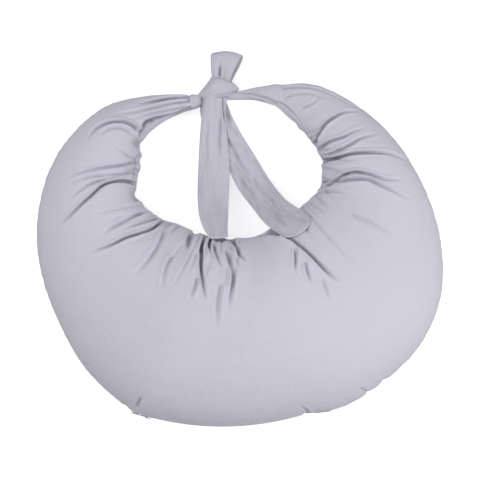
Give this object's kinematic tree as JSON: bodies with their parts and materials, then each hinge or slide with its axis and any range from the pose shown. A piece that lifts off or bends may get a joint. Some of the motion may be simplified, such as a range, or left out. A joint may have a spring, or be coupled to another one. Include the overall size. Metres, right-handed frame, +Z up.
{
  "type": "nursing pillow",
  "caption": "Crescent nursing pillow in a zipped plain cotton cover, its horns joined by two cloth ties knotted in a half bow with hanging ends.",
  "frame": {"origin": "bottom centre of the bounding box: the pillow lies flat on the floor at z = 0", "axes": "+X to the pillow's right arm, +Y from the belly to the knotted ties, +Z up through the pillow's thickness"},
  "size_m": [0.6, 0.549, 0.1723],
  "materials": {
    "cover_cotton": "matte plain-weave cotton, light lavender grey",
    "tie_cotton": "matte plain-weave cotton, light lavender grey",
    "casing_cotton": "matte undyed cotton",
    "fibre_fill": "soft white polyester fibre",
    "zip_tape": "matte herringbone tape",
    "zip_coil": "satin nylon coil",
    "zip_metal": "satin plated metal",
    "label_ribbon": "satin woven ribbon, blank"
  },
  "bodies": {
    "pillow": {"cover_top_panel": "cover_cotton", "cover_bottom_panel": "cover_cotton", "inner_casing_top": "casing_cotton", "inner_casing_bottom": "casing_cotton", "fibre_fill": "fibre_fill", "zip_tape_upper": "zip_tape", "zip_tape_lower": "zip_tape", "zip_coil_upper": "zip_coil", "zip_coil_lower": "zip_coil", "zip_top_stop": "zip_metal", "zip_bottom_stop": "zip_metal", "tie_left_lead": "tie_cotton", "tie_right_lead": "tie_cotton", "knot_wrap": "tie_cotton", "care_label": "label_ribbon"},
    "slider": {"zip_slider": "zip_metal"},
    "pull": {"zip_pull": "zip_metal"},
    "loop": {"bow_loop": "tie_cotton"},
    "back_tail": {"tail_back": "tie_cotton"},
    "front_tail": {"tail_front": "tie_cotton"}
  },
  "joints": [
    {"name": "zip_slide", "type": "hinge", "parent": "pillow", "child": "slider", "pos_m": [-0.026, 0.1385, 0.078], "axis": [0, 0, 1], "range_deg": [0, 30]},
    {"name": "zip_pull_swing", "type": "hinge", "parent": "slider", "child": "pull", "pos_m": [-0.13482, -0.26203, 0.078], "axis": [0, 0, 1], "range_deg": [0, 170]},
    {"name": "bow_loop_lift", "type": "hinge", "parent": "pillow", "child": "loop", "pos_m": [-0.02, 0.2445, 0.026], "axis": [1, 0, 0], "range_deg": [0, 90]},
    {"name": "back_tail_lift", "type": "hinge", "parent": "pillow", "child": "back_tail", "pos_m": [-0.033, 0.2035, 0.0435], "axis": [-1, 0, 0], "range_deg": [0, 60]},
    {"name": "front_tail_lift", "type": "hinge", "parent": "back_tail", "child": "front_tail", "pos_m": [-0.039, 0.2035, 0.0435], "axis": [-1, 0, 0], "range_deg": [0, 55]}
  ]
}
